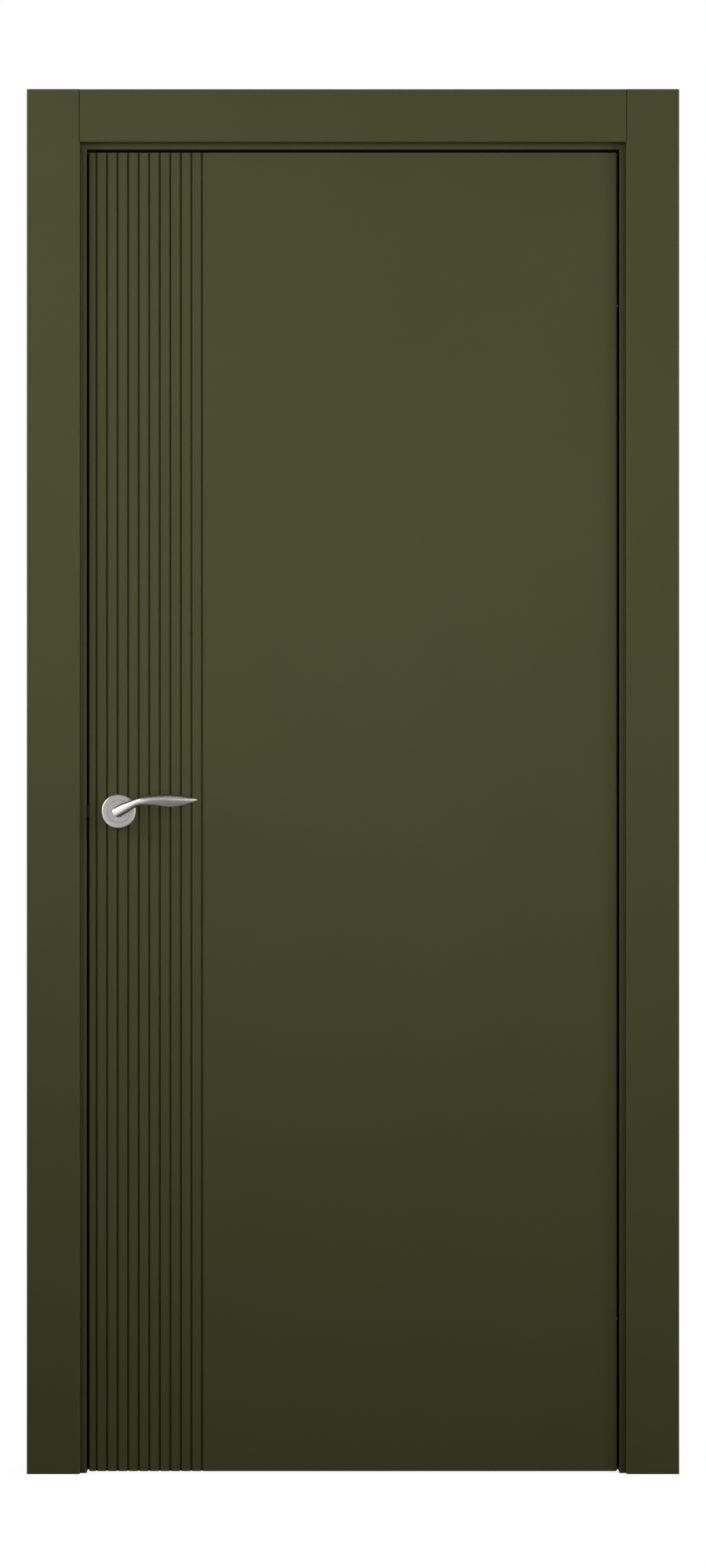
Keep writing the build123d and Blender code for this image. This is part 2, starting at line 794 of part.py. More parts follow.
def make_hinges():
    housing = hinge_housing()
    jamb_arm = hinge_arm(pin_radius)
    leaf_arm = hinge_arm(pin_radius + pin_clearance)
    groups = {"jamb_hinge_pins": [], "leaf_hinge_pins": [], "jamb_arm_pins": [], "leaf_arm_pins": [],
              "jamb_hinge_screws": [], "leaf_hinge_screws": []}
    for level, height in hinge_heights.items():
        save(f"{level}_jamb_hinge_housing", on_jamb(housing, height))
        save(f"{level}_leaf_hinge_housing", on_leaf(housing, height))
        save(f"{level}_jamb_hinge_arm", on_jamb(jamb_arm, height))
        save(f"{level}_leaf_hinge_arm", on_leaf(leaf_arm, height))
        groups["jamb_hinge_pins"].append(on_jamb(hinge_pivot_pin(), height))
        groups["leaf_hinge_pins"].append(on_leaf(hinge_pivot_pin(), height))
        groups["jamb_arm_pins"].append(on_jamb(hinge_slide_pin(), height))
        groups["jamb_arm_pins"].append(on_jamb(hinge_cross_pin(), height))
        groups["leaf_arm_pins"].append(on_leaf(hinge_slide_pin(), height))
        for item in hinge_screws():
            groups["jamb_hinge_screws"].append(on_jamb(item, height))
            groups["leaf_hinge_screws"].append(on_leaf(item, height))
    for name, solids in groups.items():
        save(name, *solids)


def make_leaf():
    facing = front_facing()
    inner_x = half_leaf - stile_width
    block_end = -inner_x + lock_block_width
    block_low = handle_height - lock_block_height / 2
    block_high = handle_height + lock_block_height / 2
    low = floor_gap + rail_height
    high = leaf_top - rail_height
    pieces = {
        "front_facing": facing,
        "back_facing": mirrored_back(facing),
        "lock_stile": leaf_bar(-half_leaf, -inner_x, floor_gap, leaf_top),
        "hinge_stile": leaf_bar(inner_x, half_leaf, floor_gap, leaf_top),
        "top_rail": leaf_bar(-inner_x, inner_x, high, leaf_top),
        "bottom_rail": leaf_bar(-inner_x, inner_x, floor_gap, low),
        "lock_block": leaf_bar(-inner_x, block_end, block_low, block_high),
        "core_board": leaf_bar(-inner_x, inner_x, low, high) - leaf_bar(-inner_x, block_end, block_low, block_high),
    }
    hinge_cutters = [on_leaf(hinge_pocket(), height) for height in hinge_heights.values()]
    for name in ("front_facing", "back_facing", "hinge_stile"):
        for cutter in hinge_cutters:
            pieces[name] -= cutter
    for name in ("front_facing", "back_facing", "lock_block"):
        pieces[name] -= handle_bores()
    for name in ("lock_stile", "lock_block"):
        pieces[name] -= case_pocket()
    for name, shape in pieces.items():
        save(name, shape)


def make_latch():
    save("latch_forend", latch_forend())
    save("forend_screws", *forend_screws())
    save("latch_case", latch_case())
    save("latch_case_lid", latch_case_lid())
    save("latch_bolt", latch_bolt())
    save("bolt_spring", bolt_spring())
    save("lock_follower", lock_follower())
    save("spindle", spindle())


def make_handles():
    front_lever = lever()
    save("front_lever", front_lever)
    save("back_lever", mirrored_back(front_lever))
    save("lever_grub_screws", grub_screw(), mirrored_back(grub_screw()))
    for name, shape in (("rose_cover", rose_cover()), ("rose_base", rose_base()), ("lever_bush", lever_bush())):
        save(f"front_{name}", shape)
        save(f"back_{name}", mirrored_back(shape))
    save("rose_bolts", *rose_bolts())


os.makedirs("parts", exist_ok=True)
make_frame()
make_hinges()
make_leaf()
make_latch()
make_handles()
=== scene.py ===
# Interior door with its frame: finishes, fasteners, studio light and camera, in metres.
import math

import bmesh
import bpy
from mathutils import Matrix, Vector


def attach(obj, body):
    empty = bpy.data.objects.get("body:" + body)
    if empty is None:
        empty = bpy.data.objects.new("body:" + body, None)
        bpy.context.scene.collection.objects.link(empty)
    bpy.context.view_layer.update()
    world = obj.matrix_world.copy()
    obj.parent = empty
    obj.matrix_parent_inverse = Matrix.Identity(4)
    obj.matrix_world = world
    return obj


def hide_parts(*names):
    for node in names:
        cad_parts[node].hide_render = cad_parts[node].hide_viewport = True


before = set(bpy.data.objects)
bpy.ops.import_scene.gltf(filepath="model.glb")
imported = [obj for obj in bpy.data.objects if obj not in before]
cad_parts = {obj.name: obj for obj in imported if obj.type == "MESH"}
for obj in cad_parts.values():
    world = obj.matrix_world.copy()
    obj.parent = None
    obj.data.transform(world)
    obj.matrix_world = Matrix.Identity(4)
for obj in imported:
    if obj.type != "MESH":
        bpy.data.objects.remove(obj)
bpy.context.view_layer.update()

# Colours, as linear light
OLIVE = (0.0690, 0.0700, 0.0268, 1.0)
OLIVE_DEEP = (0.0655, 0.0665, 0.0252, 1.0)
NICKEL = (0.56, 0.547, 0.538, 1.0)
NICKEL_DULL = (0.48, 0.469, 0.462, 1.0)
# The rose's nickel is painted darker than the grip's nickel, as painted shade
ROSE_NICKEL_PAINTED_DARKER = (0.515, 0.503, 0.495, 1.0)
ROSE_NICKEL_PAINTED_DARKER_DULL = (0.42, 0.410, 0.404, 1.0)
HINGE_COAT = (0.030, 0.030, 0.028, 1.0)
HINGE_COAT_WORN = (0.042, 0.042, 0.040, 1.0)
STEEL = (0.58, 0.575, 0.56, 1.0)
STEEL_DULL = (0.47, 0.465, 0.455, 1.0)
SEAL = (0.016, 0.015, 0.012, 1.0)
SEAL_WORN = (0.028, 0.027, 0.023, 1.0)
NYLON = (0.012, 0.012, 0.013, 1.0)
NYLON_SCUFFED = (0.022, 0.022, 0.023, 1.0)
CHIP_PALE = (0.50, 0.35, 0.19, 1.0)
CHIP_DARK = (0.27, 0.17, 0.085, 1.0)
FLOOR_COLOUR = (0.12, 0.12, 0.12, 1.0)
WHITE = (1.0, 1.0, 1.0, 1.0)

# Floor: glow at the door and how far off it turns white, then glow in metal at the door and to the sides
FLOOR_REACH = 60.0
FLOOR_ROUGHNESS = 0.9
FLOOR_GLOW = 0.92
FLOOR_TURNS_WHITE = (0.6, 3.0)
FLOOR_GLOW_IN_METAL = 0.26
FLOOR_SIDE_GLOW_IN_METAL = 1.5
FLOOR_SIDES = (0.55, 1.2)

# Room seen in metal, by direction: dimmer in front, dark above, bright at the sides
ROOM_FRONT = 0.82
ROOM_BACK = 0.9
ROOM_FRONT_TO_BACK = (-0.2, 0.2)
ROOM_CEILING = 0.12
ROOM_CEILING_RISE = (0.15, 0.55)
ROOM_SIDE = 1.2
ROOM_SIDE_TURN = (0.5, 0.8)

# Light on the paint from the surround, strongest straight from the side
SIDE_SURROUND = 0.60

# Lamps: place, aim, width, height, power, seen in metal
LAMPS = {
    "left": ((-1.77, -0.50, 2.10), (0.0, 0.0, 1.90), 0.7, 1.6, 27.0, True),
    "right": ((2.60, -1.01, 2.08), (0.0, 0.0, 1.88), 0.7, 1.6, 43.0, True),
    "top": ((-0.20, -1.20, 2.40), (-0.20, 0.0, 1.30), 1.6, 0.12, 2.6, True),
    "front": ((0.0, -1.20, 1.24), (0.0, 0.0, 1.19), 0.68, 0.8, 5.2, False),
    "back_fill": ((0.8, 2.4, 1.9), (0.0, 0.0, 1.1), 1.4, 1.4, 34.0, True),
}

# Camera, straight on and far off, so that the picture covers VIEW_HEIGHT at the front of the architraves
LENS = 120.0
SENSOR = 36.0
VIEW_HEIGHT = 2.375
VIEW_MIDDLE = 1.0454
FRONT_PLANE = -0.032
FAR_END = 200.0

# Hinge and latch places
HINGE_HEIGHTS = (1.773, 0.233)
HINGE_SCREW_RISE = 0.038
HINGE_SCREW_DEPTH = 0.0005
JAMB_FACE = 0.404
LEAF_EDGE = 0.400
HANDLE_HEIGHT = 1.004
STRIKE_SCREW_RISE = 0.026
FOREND_SCREW_RISE = 0.036
FRAME_SIDE = 0.440
CORNER_SCREW_HEIGHT = 2.021
CORNER_SCREW_DEPTHS = (0.010, 0.028)

# Countersunk screws
SCREW_HEAD_RADIUS = 0.0038
SCREW_HEAD_HEIGHT = 0.0024
SCREW_RADIUS = 0.0020
SCREW_RECESS_WIDTH = 0.0009
SCREW_RECESS_SPAN = 0.0046
SCREW_RECESS_DEPTH = 0.0012
SCREW_SIDES = 36
HINGE_SCREW_LENGTH = 0.020
PLATE_SCREW_LENGTH = 0.018
CORNER_SCREW_LENGTH = 0.070

# Mesh finish
WELD_DISTANCE = 0.000005
FLAT_ANGLE = math.radians(0.2)
CREASE_ANGLE = math.radians(32)
METAL_EDGE = 0.00025
METAL_EDGE_STEPS = 2

# Lever grip: along the leaf, out from its face, up, half height, half depth, share of the ridge form
GRIP_STATIONS = (
    (0.0, 0.0240, 0.0, 0.0082, 0.0082, 0.0),
    (0.0090, 0.0294, 0.0044, 0.0080, 0.0076, 0.1),
    (0.0130, 0.0318, 0.0064, 0.0075, 0.0072, 0.2),
    (0.0210, 0.0366, 0.0102, 0.0064, 0.0066, 0.5),
    (0.0320, 0.0420, 0.0144, 0.0060, 0.0062, 0.85),
    (0.0430, 0.0447, 0.0161, 0.0072, 0.0062, 1.0),
    (0.0580, 0.0454, 0.0168, 0.0086, 0.0063, 1.0),
    (0.0800, 0.0446, 0.0162, 0.0100, 0.0062, 1.0),
    (0.0990, 0.0434, 0.0163, 0.0076, 0.0052, 1.0),
    (0.1110, 0.0424, 0.0169, 0.0044, 0.0036, 1.0),
    (0.1194, 0.0416, 0.0174, 0.0010, 0.0010, 1.0),
)
GRIP_RIDGE_DEGREES = 24.0
GRIP_RIDGE_RISE = 0.42
GRIP_BULGE = 0.10
GRIP_BACK_DEPTH = 0.72
GRIP_EASE = 0.0008
GRIP_EASE_STEPS = 5
GRIP_EASE_MOST = 0.25
GRIP_ARC_STEPS = 16
GRIP_RINGS = 150
GRIP_HEADING_SPAN = 0.25
GRIP_TIP = 0.0009
GRIP_TIP_SHARES = (0.35, 0.7, 0.93)
SHANK_RADIUS = 0.0082
JOURNAL_RADIUS = 0.0075
JOURNAL_START = 0.0020
COLLAR_START = 0.0094

# Rose cover, as radius and height from the leaf
ROSE_RADIUS = 0.026
ROSE_HEIGHT = 0.009
ROSE_RIM = 0.0024
ROSE_WALL = 0.0014
ROSE_BORE = 0.0086
ROSE_RING_RADIUS = 0.0172
ROSE_RING_WIDTH = 0.0009
ROSE_RING_DEPTH = 0.0005
ROSE_ARRIS = 0.0003
ROSE_RIM_STEPS = 8
LATHE_STEPS = 120
LEAF_FRONT = 0.020
SPINDLE_X = -0.355

PAINTED_PIECES = {
    "frame": ("hinge_jamb", "lock_jamb", "head_jamb",
              "front_hinge_architrave", "front_lock_architrave", "front_head_architrave",
              "back_hinge_architrave", "back_lock_architrave", "back_head_architrave"),
    "leaf": ("front_facing", "back_facing", "lock_stile", "hinge_stile", "top_rail", "bottom_rail"),
}
SEALS = ("hinge_jamb_seal", "lock_jamb_seal", "head_jamb_seal")
HINGE_PINS = {"jamb_hinge_pins": "frame", "leaf_hinge_pins": "leaf", "jamb_arm_pins": "jamb_arms",
              "leaf_arm_pins": "leaf_arms"}
CHIPBOARD_NODES = ("core_board", "lock_block")
NYLON_NODES = ("front_rose_base", "back_rose_base", "front_lever_bush", "back_lever_bush")
STEEL_NODES = ("latch_case", "latch_case_lid", "rose_bolts", "spindle", "lock_follower", "lever_grub_screws",
               "bolt_spring")


def add_node(tree, kind, **sockets):
    node = tree.nodes.new(kind)
    for name, value in sockets.items():
        node.inputs[name.replace("_", " ")].default_value = value
    return node


def new_finish(name, **sockets):
    material = bpy.data.materials.new(name)
    material.use_nodes = True
    shader = material.node_tree.nodes["Principled BSDF"]
    for socket, value in sockets.items():
        shader.inputs[socket.replace("_", " ")].default_value = value
    return material, material.node_tree, shader


def placed_pattern(tree, stretch=(1.0, 1.0, 1.0), centre=(0.0, 0.0, 0.0)):
    place = add_node(tree, "ShaderNodeTexCoord")
    mapping = add_node(tree, "ShaderNodeMapping", Scale=stretch)
    mapping.inputs["Location"].default_value = [-c * s for c, s in zip(centre, stretch)]
    tree.links.new(place.outputs["Object"], mapping.inputs["Vector"])
    return mapping.outputs["Vector"]


def noise(tree, vector, scale, detail=2.0, roughness=0.5):
    node = add_node(tree, "ShaderNodeTexNoise", Scale=scale, Detail=detail, Roughness=roughness)
    tree.links.new(vector, node.inputs["Vector"])
    return node.outputs["Fac"]


# A value between start and end becomes one between low and high.
def spread(tree, value, low, high, start=0.3, end=0.7):
    node = add_node(tree, "ShaderNodeMapRange", From_Min=start, From_Max=end, To_Min=low, To_Max=high)
    tree.links.new(value, node.inputs["Value"])
    return node.outputs["Result"]


def calculate(tree, operation, *values):
    node = tree.nodes.new("ShaderNodeMath")
    node.operation = operation
    for socket, value in zip(node.inputs, values):
        tree.links.new(value, socket)
    return node.outputs["Value"]


def length_of(tree, vector):
    node = tree.nodes.new("ShaderNodeVectorMath")
    node.operation = "LENGTH"
    tree.links.new(vector, node.inputs[0])
    return node.outputs["Value"]


def axes_of(tree, vector):
    node = tree.nodes.new("ShaderNodeSeparateXYZ")
    tree.links.new(vector, node.inputs["Vector"])
    return node.outputs


def two_tone(tree, shader, factor, first, second):
    mix = tree.nodes.new("ShaderNodeMix")
    mix.data_type = "RGBA"
    mix.inputs["A"].default_value = first
    mix.inputs["B"].default_value = second
    tree.links.new(factor, mix.inputs["Factor"])
    tree.links.new(mix.outputs["Result"], shader.inputs["Base Color"])


def add_bump(tree, shader, height, distance, strength=1.0):
    bump = add_node(tree, "ShaderNodeBump", Strength=strength, Distance=distance)
    tree.links.new(height, bump.inputs["Height"])
    tree.links.new(bump.outputs["Normal"], shader.inputs["Normal"])


def add_roughness(tree, shader, value):
    tree.links.new(value, shader.inputs["Roughness"])


# Sprayed satin enamel: a faint cloud in the colour and a fine orange peel
def olive_enamel():
    material, tree, shader = new_finish("olive_enamel", Specular_IOR_Level=0.12)
    vector = placed_pattern(tree)
    cloud = noise(tree, vector, scale=5.0, detail=4.0, roughness=0.6)
    two_tone(tree, shader, spread(tree, cloud, low=0.0, high=1.0), OLIVE, OLIVE_DEEP)
    sheen = noise(tree, vector, scale=90.0, detail=3.0)
    add_roughness(tree, shader, spread(tree, sheen, low=0.50, high=0.58))
    add_bump(tree, shader, noise(tree, vector, scale=900.0, detail=2.0), distance=0.00002, strength=0.25)
    return material


# Brushed along the grip, from shank to tip
def brushed_grip():
    material, tree, shader = new_finish("brushed_grip", Metallic=1.0)
    place = tree.nodes.new("ShaderNodeUVMap")
    place.uv_map = "brushing"
    stretch = add_node(tree, "ShaderNodeMapping", Scale=(190.0, 9.0, 1.0))
    tree.links.new(place.outputs["UV"], stretch.inputs["Vector"])
    lines = noise(tree, stretch.outputs["Vector"], scale=1.0, detail=3.0, roughness=0.65)
    two_tone(tree, shader, spread(tree, lines, low=0.0, high=1.0), NICKEL, NICKEL_DULL)
    add_roughness(tree, shader, spread(tree, lines, low=0.25, high=0.33))
    add_bump(tree, shader, lines, distance=0.00001, strength=0.2)
    return material


# Brushed along the plate
def satin_nickel():
    material, tree, shader = new_finish("satin_nickel", Metallic=1.0)
    along_plate = placed_pattern(tree, stretch=(3200.0, 3200.0, 60.0))
    lines = noise(tree, along_plate, scale=1.0, detail=3.0, roughness=0.7)
    two_tone(tree, shader, spread(tree, lines, low=0.0, high=1.0), NICKEL, NICKEL_DULL)
    cloud = noise(tree, placed_pattern(tree), scale=160.0, detail=3.0)
    add_roughness(tree, shader, spread(tree, cloud, low=0.26, high=0.34))
    add_bump(tree, shader, lines, distance=0.00001, strength=0.25)
    return material


# Turned on a lathe about the spindle, in a nickel painted a little darker than the grip's as painted shade
def turned_nickel_painted_darker(centre):
    material, tree, shader = new_finish("turned_nickel_painted_darker", Metallic=1.0)
    radius = length_of(tree, placed_pattern(tree, stretch=(1.0, 0.0, 1.0), centre=centre))
    turning = tree.nodes.new("ShaderNodeTexNoise")
    turning.noise_dimensions = "1D"
    turning.inputs["Scale"].default_value = 3600.0
    tree.links.new(radius, turning.inputs["W"])
    lines = turning.outputs["Fac"]
    two_tone(tree, shader, spread(tree, lines, low=0.0, high=1.0), ROSE_NICKEL_PAINTED_DARKER, ROSE_NICKEL_PAINTED_DARKER_DULL)
    cloud = noise(tree, placed_pattern(tree), scale=160.0, detail=3.0)
    add_roughness(tree, shader, spread(tree, cloud, low=0.28, high=0.36))
    add_bump(tree, shader, lines, distance=0.00001, strength=0.25)
    return material


# Cast zinc under a dark powder coat
def hinge_coat():
    material, tree, shader = new_finish("hinge_coat", Specular_IOR_Level=0.4)
    vector = placed_pattern(tree)
    grain = noise(tree, vector, scale=1400.0, detail=3.0)
    cloud = noise(tree, vector, scale=120.0, detail=4.0)
    two_tone(tree, shader, spread(tree, cloud, low=0.0, high=1.0), HINGE_COAT, HINGE_COAT_WORN)
    add_roughness(tree, shader, spread(tree, grain, low=0.46, high=0.60))
    add_bump(tree, shader, grain, distance=0.00004, strength=0.35)
    return material


# Zinc-plated, with a cloudy tone and faint drawing lines
def plated_steel():
    material, tree, shader = new_finish("plated_steel", Metallic=1.0)
    cloud = noise(tree, placed_pattern(tree), scale=260.0, detail=4.0)
    two_tone(tree, shader, spread(tree, cloud, low=0.0, high=1.0), STEEL, STEEL_DULL)
    lines = noise(tree, placed_pattern(tree, stretch=(2600.0, 2600.0, 90.0)), scale=1.0, detail=2.0)
    add_roughness(tree, shader, spread(tree, lines, low=0.26, high=0.40))
    add_bump(tree, shader, lines, distance=0.00001, strength=0.3)
    return material


def seal_rubber():
    material, tree, shader = new_finish("seal_rubber", Specular_IOR_Level=0.3)
    vector = placed_pattern(tree)
    wear = noise(tree, vector, scale=45.0, detail=4.0)
    two_tone(tree, shader, spread(tree, wear, low=0.0, high=1.0), SEAL, SEAL_WORN)
    grain = noise(tree, vector, scale=1800.0, detail=2.0)
    add_roughness(tree, shader, spread(tree, grain, low=0.60, high=0.78))
    add_bump(tree, shader, grain, distance=0.00004, strength=0.3)
    return material


def black_nylon():
    material, tree, shader = new_finish("black_nylon", Specular_IOR_Level=0.4)
    vector = placed_pattern(tree)
    scuffs = noise(tree, vector, scale=300.0, detail=3.0)
    two_tone(tree, shader, spread(tree, scuffs, low=0.0, high=1.0), NYLON, NYLON_SCUFFED)
    grain = noise(tree, vector, scale=2400.0, detail=2.0)
    add_roughness(tree, shader, spread(tree, grain, low=0.42, high=0.58))
    add_bump(tree, shader, grain, distance=0.00003, strength=0.35)
    return material


# Pressed chips of wood, seen only where the leaf is cut
def core_chipboard():
    material, tree, shader = new_finish("core_chipboard", Specular_IOR_Level=0.2)
    chips = add_node(tree, "ShaderNodeTexVoronoi", Scale=420.0)
    tree.links.new(placed_pattern(tree, stretch=(1.0, 1.6, 0.7)), chips.inputs["Vector"])
    split = tree.nodes.new("ShaderNodeSeparateColor")
    tree.links.new(chips.outputs["Color"], split.inputs["Color"])
    two_tone(tree, shader, split.outputs["Red"], CHIP_PALE, CHIP_DARK)
    edges = chips.outputs["Distance"]
    add_roughness(tree, shader, spread(tree, edges, low=0.70, high=0.88, start=0.0, end=1.0))
    add_bump(tree, shader, edges, distance=0.0003, strength=0.4)
    return material


def add_object(name, data):
    thing = bpy.data.objects.new(name, data)
    bpy.context.scene.collection.objects.link(thing)
    return thing


def shade_by_angle(data):
    for face in data.polygons:
        face.use_smooth = True
    data.set_sharp_from_angle(angle=CREASE_ANGLE)


# A worked mesh becomes a piece, smooth but for its creases.
def finished_piece(name, mesh, finish):
    data = bpy.data.meshes.new(name)
    mesh.to_mesh(data)
    mesh.free()
    shade_by_angle(data)
    data.materials.clear()
    data.materials.append(finish)
    return add_object(name, data)


# A solid's loose triangles are merged, and those in one plane become one face.
def welded_copy(name, node, finish):
    mesh = bmesh.new()
    mesh.from_mesh(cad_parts[node].data)
    bmesh.ops.remove_doubles(mesh, verts=mesh.verts, dist=WELD_DISTANCE)
    bmesh.ops.dissolve_limit(mesh, angle_limit=FLAT_ANGLE, verts=mesh.verts, edges=mesh.edges)
    return finished_piece(name, mesh, finish)


# The piece's modifiers become its plain mesh.
def settle(piece):
    seen = piece.evaluated_get(bpy.context.evaluated_depsgraph_get())
    data = bpy.data.meshes.new_from_object(seen)
    piece.modifiers.clear()
    piece.data = data


def stands_for(piece, node, body):
    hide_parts(node)
    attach(piece, body)


# The piece takes the solid's place, with its edges eased by the width given.
def dress(node, body, finish, edge=0.0):
    piece = welded_copy(node + "_skin", node, finish)
    if edge:
        bevel = piece.modifiers.new("edges", "BEVEL")
        bevel.width = edge
        bevel.segments = METAL_EDGE_STEPS
        bevel.limit_method = "ANGLE"
        bevel.angle_limit = CREASE_ANGLE
        bevel.use_clamp_overlap = True
        bevel.harden_normals = True
    weight = piece.modifiers.new("flats", "WEIGHTED_NORMAL")
    weight.keep_sharp = True
    settle(piece)
    stands_for(piece, node, body)


# Values between the stations, with a smooth slope through each of them
def glide(rows, lengths, place):
    index = 0
    while index < len(rows) - 2 and place > lengths[index + 1]:
        index += 1
    span = lengths[index + 1] - lengths[index]
    share = (place - lengths[index]) / span

    def slope(at):
        before, after = max(at - 1, 0), min(at + 1, len(rows) - 1)
        run = lengths[after] - lengths[before]
        return [(b - a) / run * span for a, b in zip(rows[before], rows[after])]

    lead = share * share * (3 - 2 * share)
    leave = share * (1 - share) ** 2
    arrive = -share * share * (1 - share)
    values = zip(rows[index], rows[index + 1], slope(index), slope(index + 1))
    return [a + (b - a) * lead + da * leave + db * arrive for a, b, da, db in values]


# Points along the arc through three points, at the shares of it given
def arc_points(first, middle, last, shares):
    (ax, ay), (bx, by), (cx, cy) = first, middle, last
    d = 2 * (ax * (by - cy) + bx * (cy - ay) + cx * (ay - by))
    a, b, c = ax * ax + ay * ay, bx * bx + by * by, cx * cx + cy * cy
    ox = (a * (by - cy) + b * (cy - ay) + c * (ay - by)) / d
    oy = (a * (cx - bx) + b * (ax - cx) + c * (bx - ax)) / d
    radius = math.hypot(ax - ox, ay - oy)
    start = math.atan2(ay - oy, ax - ox)
    sweep = (math.atan2(cy - oy, cx - ox) - start) % (2 * math.pi) - 2 * math.pi
    turns = [start + sweep * share for share in shares]
    return [(ox + radius * math.cos(turn), oy + radius * math.sin(turn)) for turn in turns]


# A grip section has a top edge, a ridge along the front and a bottom edge, joined by arcs and eased.
def grip_section(half_height, half_depth, ridge_share):
    ridge = math.radians(GRIP_RIDGE_DEGREES)
    upper = (math.radians(90) + ridge) / 2
    lower = (ridge - math.radians(90)) / 2
    bulge, rise = GRIP_BULGE, GRIP_RIDGE_RISE

    def blend(round_turn, ridge_form):
        x = math.cos(round_turn) + (ridge_form[0] - math.cos(round_turn)) * ridge_share
        y = math.sin(round_turn) + (ridge_form[1] - math.sin(round_turn)) * ridge_share
        return x * half_depth, y * half_height

    top, bottom = (0.0, half_height), (0.0, -half_height)
    front = blend(ridge, (1.0, rise))
    above = blend(upper, (0.5 + bulge, (1 + rise) / 2 + bulge))
    below = blend(lower, (0.5 + 2 * bulge, (rise - 1) / 2 - 2 * bulge))
    behind = blend(math.pi, (-GRIP_BACK_DEPTH, 0.0))
    points = []
    for first, middle, last, following in ((top, above, front, below), (front, below, bottom, behind),
                                           (bottom, behind, top, above)):
        chord = math.hypot(last[0] - first[0], last[1] - first[1])
        cut = min(GRIP_EASE / chord, GRIP_EASE_MOST)
        shares = [cut + (1 - 2 * cut) * step / GRIP_ARC_STEPS for step in range(GRIP_ARC_STEPS + 1)]
        points += arc_points(first, middle, last, shares)
        end = {front: bottom, bottom: top, top: front}[last]
        leave = points[-1]
        onward = math.hypot(end[0] - last[0], end[1] - last[1])
        arrive = arc_points(last, following, end, [min(GRIP_EASE / onward, GRIP_EASE_MOST)])[0]
        for step in range(1, GRIP_EASE_STEPS):
            s = step / GRIP_EASE_STEPS
            points.append(tuple(leave[i] * (1 - s) ** 2 + 2 * last[i] * s * (1 - s) + arrive[i] * s * s
                                for i in (0, 1)))
    return points


# A ring lies across the lever, with its front away from the leaf and its top up.
def ring_across(middle, along, heading, section):
    turn = math.atan2(heading.z, heading.x)
    outward = along.cross(Vector((-math.sin(turn), 0.0, math.cos(turn)))).normalized()
    upward = outward.cross(along)
    return [middle + outward * x + upward * y for x, y in section]


def heading_between(behind, ahead):
    return Vector((ahead[0] - behind[0], behind[1] - ahead[1], ahead[2] - behind[2])).normalized()


# The neck turns at a mitre, so the first ring lies halfway between the shank's plane and the slope's.
def grip_rings():
    rows = [list(row) for row in GRIP_STATIONS]
    lengths = [0.0]
    for before, after in zip(rows, rows[1:]):
        lengths.append(lengths[-1] + math.dist(before[:3], after[:3]))
    straight_out = Vector((0.0, -1.0, 0.0))
    slope = heading_between(rows[0], rows[1])
    half_turn = slope.angle(straight_out) / 2
    mitre = grip_section(SHANK_RADIUS, SHANK_RADIUS / math.cos(half_turn), 0.0)
    rings = [ring_across(straight_out * rows[0][1], (straight_out + slope).normalized(), slope, mitre)]
    start = SHANK_RADIUS * math.tan(half_turn) + GRIP_EASE
    step = (lengths[-1] - start) / GRIP_RINGS
    for index in range(GRIP_RINGS + 1):
        place = start + index * step
        along, out, up, half_height, half_depth, share = glide(rows, lengths, place)
        behind = glide(rows, lengths, place - step * GRIP_HEADING_SPAN)
        ahead = glide(rows, lengths, min(place + step * GRIP_HEADING_SPAN, lengths[-1]))
        heading = heading_between(behind, ahead)
        section = grip_section(half_height, half_depth, share)
        rings.append(ring_across(Vector((along, -out, up)), heading, heading, section))
    return rings


# The shank goes back through the rose, and the tip closes in a small dome.
def grip_with_ends():
    rings = grip_rings()
    start = [Vector((p.x, 0.0, p.z)) for p in rings[0]]
    ends = []
    for radius, out in ((JOURNAL_RADIUS, JOURNAL_START), (JOURNAL_RADIUS, COLLAR_START),
                        (SHANK_RADIUS, COLLAR_START)):
        scale = radius / SHANK_RADIUS
        ends.append([Vector((p.x * scale, -out, p.z * scale)) for p in start])
    tip = sum(rings[-1], Vector()) / len(rings[-1])
    forward = (tip - sum(rings[-2], Vector()) / len(rings[-2])).normalized()
    dome = []
    for share in GRIP_TIP_SHARES:
        reach = math.sqrt(1 - (1 - share) ** 2)
        dome.append([tip + (p - tip) * math.sqrt(1 - share * share) + forward * GRIP_TIP * reach * share
                     for p in rings[-1]])
    return ends + rings + dome


# The lever is skinned ring by ring, on the side of the leaf given, with its brushing laid from shank to tip.
def model_grip(node, side, finish):
    mesh = bmesh.new()
    around = mesh.loops.layers.uv.new("brushing")
    rings = []
    for ring in grip_with_ends():
        places = [(SPINDLE_X + p.x, side * (LEAF_FRONT - p.y), HANDLE_HEIGHT + p.z) for p in ring]
        rings.append([mesh.verts.new(place) for place in places])
    count = len(rings[0])
    for row, (ring, following) in enumerate(zip(rings, rings[1:])):
        for index in range(count):
            after = (index + 1) % count
            face = mesh.faces.new((ring[index], ring[after], following[after], following[index]))
            corners = ((index, row), (index + 1, row), (index + 1, row + 1), (index, row + 1))
            for loop, (u, v) in zip(face.loops, corners):
                loop[around].uv = (u / count, v / len(rings))
    mesh.faces.new(rings[0])
    mesh.faces.new(rings[-1])
    bmesh.ops.recalc_face_normals(mesh, faces=mesh.faces)
    stands_for(finished_piece(node + "_grip", mesh, finish), node, "levers")


